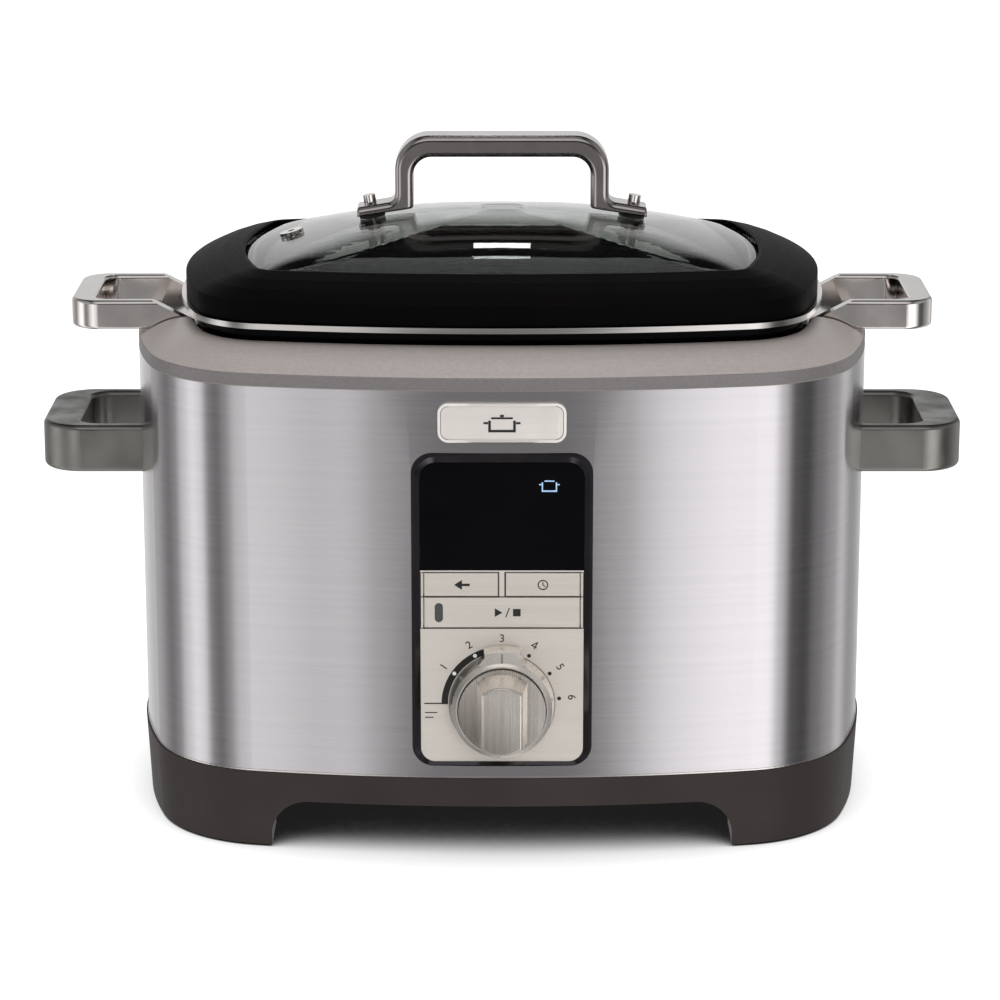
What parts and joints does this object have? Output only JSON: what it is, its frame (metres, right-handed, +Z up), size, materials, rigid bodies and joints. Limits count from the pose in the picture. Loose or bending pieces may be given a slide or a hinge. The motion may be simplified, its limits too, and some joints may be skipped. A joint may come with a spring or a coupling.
{
  "type": "slow cooker",
  "caption": "Oval slow cooker with a brushed steel housing, lift-out pot with loop handles, domed glass lid, side handles, front display, press keys and a dual dial.",
  "frame": {"origin": "on the floor, under the centre of the object's bounding box", "axes": "+Z up, front towards -Y, handles along X"},
  "size_m": [0.4544, 0.2886, 0.3286],
  "materials": {
    "base_plastic": "fine texture",
    "foot_rubber": "matte",
    "zinc_screw": "plated",
    "shell_steel": "horizontal brushing",
    "collar_satin": "satin",
    "well_steel": "plain sheet",
    "blanket": "glass fibre felt",
    "cast_plate": "cast, machined top",
    "element_sheath": "oxidised",
    "sensor_metal": "satin",
    "board_green": "solder resist",
    "relay_black": "moulded",
    "core_steel": "varnished",
    "terminal_white": "moulded",
    "gland_black": "matte",
    "bezel_steel": "polished bevel",
    "display_glass": "gloss",
    "module_black": "gloss",
    "plate_silver": "lightly brushed",
    "badge_silver": "satin",
    "handle_satin": "satin",
    "key_silver": "lightly brushed",
    "lamp_lens": "smoked",
    "ring_silver": "satin, turned",
    "knob_silver": "vertical brushing",
    "pot_steel": "dark non-stick coat, bare rim",
    "polished_steel": "polished",
    "rim_black": "matte",
    "clear_glass": "clear",
    "washer_black": "moulded",
    "vent_steel": "satin"
  },
  "bodies": {
    "housing": {"base_tray": "base_plastic", "foot_pads": "foot_rubber", "base_screws": "zinc_screw", "well_screws": "zinc_screw", "standoff_posts": "zinc_screw", "outer_shell": "shell_steel", "collar": "collar_satin", "heating_well": "well_steel", "well_insulation": "blanket", "heater_plate": "cast_plate", "plate_screws": "zinc_screw", "heating_element": "element_sheath", "heat_shield": "well_steel", "temperature_sensor": "sensor_metal", "thermal_fuse": "sensor_metal", "power_board": "board_green", "relay": "relay_black", "transformer": "core_steel", "terminal_block": "terminal_white", "power_board_screws": "zinc_screw", "cord_gland": "gland_black", "panel_frame": "bezel_steel", "display_lens": "display_glass", "display_module": "module_black", "control_plate": "plate_silver", "control_board": "board_green", "panel_screws": "zinc_screw", "tact_switches": "relay_black", "encoder_body": "sensor_metal", "mode_switch": "relay_black", "badge": "badge_silver", "left_body_handle": "handle_satin", "right_body_handle": "handle_satin", "handle_brackets": "well_steel", "handle_screws": "zinc_screw"},
    "back_key": {"back_button": "key_silver"},
    "timer_key": {"timer_button": "key_silver"},
    "start_key": {"start_stop_button": "key_silver", "led_lens": "lamp_lens"},
    "mode_dial": {"mode_ring": "ring_silver"},
    "select_dial": {"selector_knob": "knob_silver", "encoder_shaft": "zinc_screw"},
    "pot": {"pot_vessel": "pot_steel", "left_pot_handle": "polished_steel", "right_pot_handle": "polished_steel", "pot_rivets": "polished_steel"},
    "lid": {"lid_rim": "rim_black", "lid_glass": "clear_glass", "lid_handle": "polished_steel", "lid_washers": "washer_black", "lid_nuts": "polished_steel", "lid_screws": "polished_steel", "steam_vent": "vent_steel"}
  },
  "joints": [
    {"name": "pot_lift", "type": "slide", "parent": "housing", "child": "pot", "axis": [0, 0, 1], "range_m": [0, 0.16]},
    {"name": "lid_lift", "type": "slide", "parent": "pot", "child": "lid", "axis": [0, 0, 1], "range_m": [0, 0.1]},
    {"name": "mode_turn", "type": "hinge", "parent": "housing", "child": "mode_dial", "pos_m": [0, -0.12205, 0.075], "axis": [0, 1, 0], "range_deg": [-56, 84]},
    {"name": "select_turn", "type": "hinge", "parent": "housing", "child": "select_dial", "pos_m": [0, -0.13215, 0.075], "axis": [0, 1, 0], "continuous": true},
    {"name": "back_press", "type": "slide", "parent": "housing", "child": "back_key", "axis": [0, 1, 0], "range_m": [0, 0.0008], "stiffness_N_per_m": 900, "springref_m": -0.0008},
    {"name": "timer_press", "type": "slide", "parent": "housing", "child": "timer_key", "axis": [0, 1, 0], "range_m": [0, 0.0008], "stiffness_N_per_m": 900, "springref_m": -0.0008},
    {"name": "start_press", "type": "slide", "parent": "housing", "child": "start_key", "axis": [0, 1, 0], "range_m": [0, 0.0008], "stiffness_N_per_m": 900, "springref_m": -0.0008}
  ]
}
